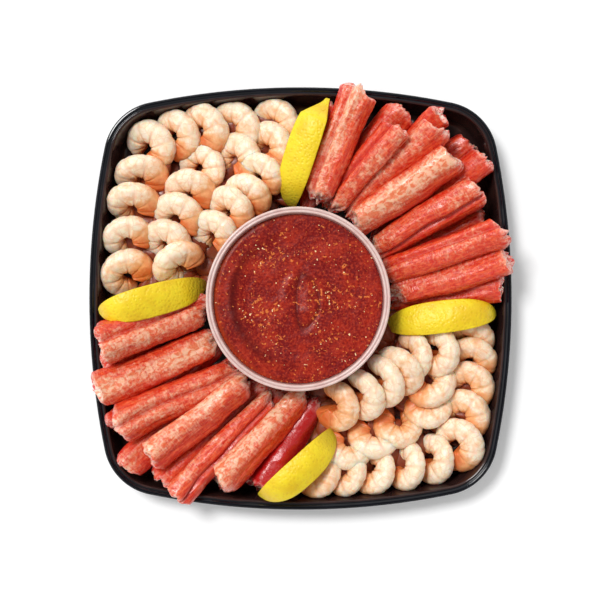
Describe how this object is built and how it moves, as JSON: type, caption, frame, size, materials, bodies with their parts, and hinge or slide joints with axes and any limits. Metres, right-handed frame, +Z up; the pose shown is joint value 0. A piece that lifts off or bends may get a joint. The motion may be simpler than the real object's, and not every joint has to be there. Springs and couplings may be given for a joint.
{
  "type": "shrimp cocktail platter",
  "caption": "Square black party tray of peeled shrimps, crab sticks and lemon wedges round a clear cup of cocktail sauce.",
  "frame": {"origin": "centre of the tray's underside, on the surface that it stands on", "axes": "+Z up. Seen from above as in the picture, +X points to the right edge and +Y to the top edge"},
  "size_m": [0.2816, 0.2815, 0.0528],
  "materials": {
    "tray_plastic": "gloss",
    "clear_plastic": "clear gloss",
    "sauce": "moist",
    "crab_stick": "moist",
    "shrimp": "moist",
    "lemon": "satin"
  },
  "bodies": {
    "root": {"tray": "tray_plastic", "sauce_cup": "clear_plastic", "cocktail_sauce": "sauce", "lemon_wedge_top": "lemon", "lemon_wedge_left": "lemon", "lemon_wedge_right": "lemon", "lemon_wedge_bottom": "lemon", "crab_stick_right_01": "crab_stick", "crab_stick_right_02": "crab_stick", "crab_stick_right_03": "crab_stick", "crab_stick_right_04": "crab_stick", "crab_stick_right_05": "crab_stick", "crab_stick_right_06": "crab_stick", "crab_stick_right_07": "crab_stick", "crab_stick_right_08": "crab_stick", "crab_stick_right_09": "crab_stick", "crab_stick_right_10": "crab_stick", "crab_stick_right_11": "crab_stick", "crab_stick_right_12": "crab_stick", "crab_stick_right_13": "crab_stick", "crab_stick_right_14": "crab_stick", "crab_stick_left_01": "crab_stick", "crab_stick_left_02": "crab_stick", "crab_stick_left_03": "crab_stick", "crab_stick_left_04": "crab_stick", "crab_stick_left_05": "crab_stick", "crab_stick_left_06": "crab_stick", "crab_stick_left_07": "crab_stick", "crab_stick_left_08": "crab_stick", "crab_stick_left_09": "crab_stick", "crab_stick_left_10": "crab_stick", "crab_stick_left_11": "crab_stick", "crab_stick_left_12": "crab_stick", "shrimps_upper_left": "shrimp", "shrimps_lower_right": "shrimp"}
  },
  "joints": []
}
